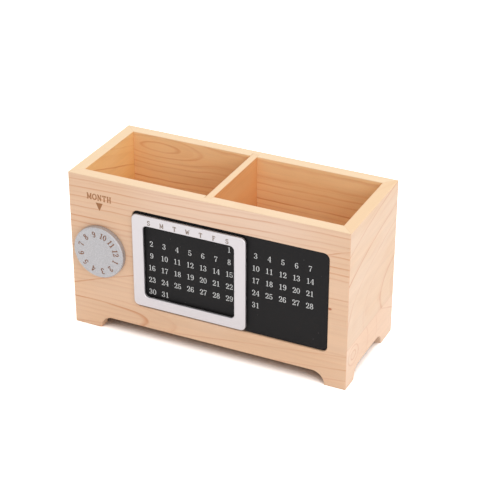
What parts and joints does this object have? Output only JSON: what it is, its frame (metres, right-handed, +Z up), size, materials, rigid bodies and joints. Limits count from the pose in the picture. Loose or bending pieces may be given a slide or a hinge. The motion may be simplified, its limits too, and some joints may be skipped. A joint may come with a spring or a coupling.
{
  "type": "desk calendar pen box",
  "caption": "Open-topped wooden pen box on four corner feet, with two compartments, a sliding weekday frame over a date plate, and a turning month dial on its front.",
  "frame": {"origin": "on the floor, under the middle of the whole object's box, dial included", "axes": "+X along the box to the right as seen from the front, +Y to its back, +Z up"},
  "size_m": [0.17, 0.073, 0.097],
  "materials": {
    "maple": "sanded, clear matt oil",
    "black_plate": "matt black coat",
    "silver_frame": "satin, pale silver",
    "magnet_rubber": "matt black",
    "blasted_metal": "sand-blasted, matt silver grey",
    "felt": "pressed grey felt",
    "bush_plastic": "natural nylon",
    "magnet_steel": "bright zinc or nickel plate"
  },
  "bodies": {
    "case": {"front_panel": "maple", "back_panel": "maple", "left_panel": "maple", "right_panel_upper": "maple", "right_panel_lower": "maple", "divider": "maple", "bottom_panel": "maple", "recess_magnets": "magnet_steel", "date_plate": "black_plate", "dial_bush": "bush_plastic"},
    "weekday_slider": {"weekday_frame": "silver_frame", "frame_magnet": "magnet_rubber"},
    "month_knob": {"month_dial": "blasted_metal", "dial_felt": "felt", "dial_stud": "magnet_steel", "dial_washer": "magnet_steel", "dial_screw": "magnet_steel"}
  },
  "joints": [
    {"name": "weekday_slide", "type": "slide", "parent": "case", "child": "weekday_slider", "axis": [1, 0, 0], "range_m": [0, 0.048]},
    {"name": "month_turn", "type": "hinge", "parent": "case", "child": "month_knob", "pos_m": [-0.0656, -0.0329, 0.05145], "axis": [0, 1, 0], "continuous": true}
  ]
}
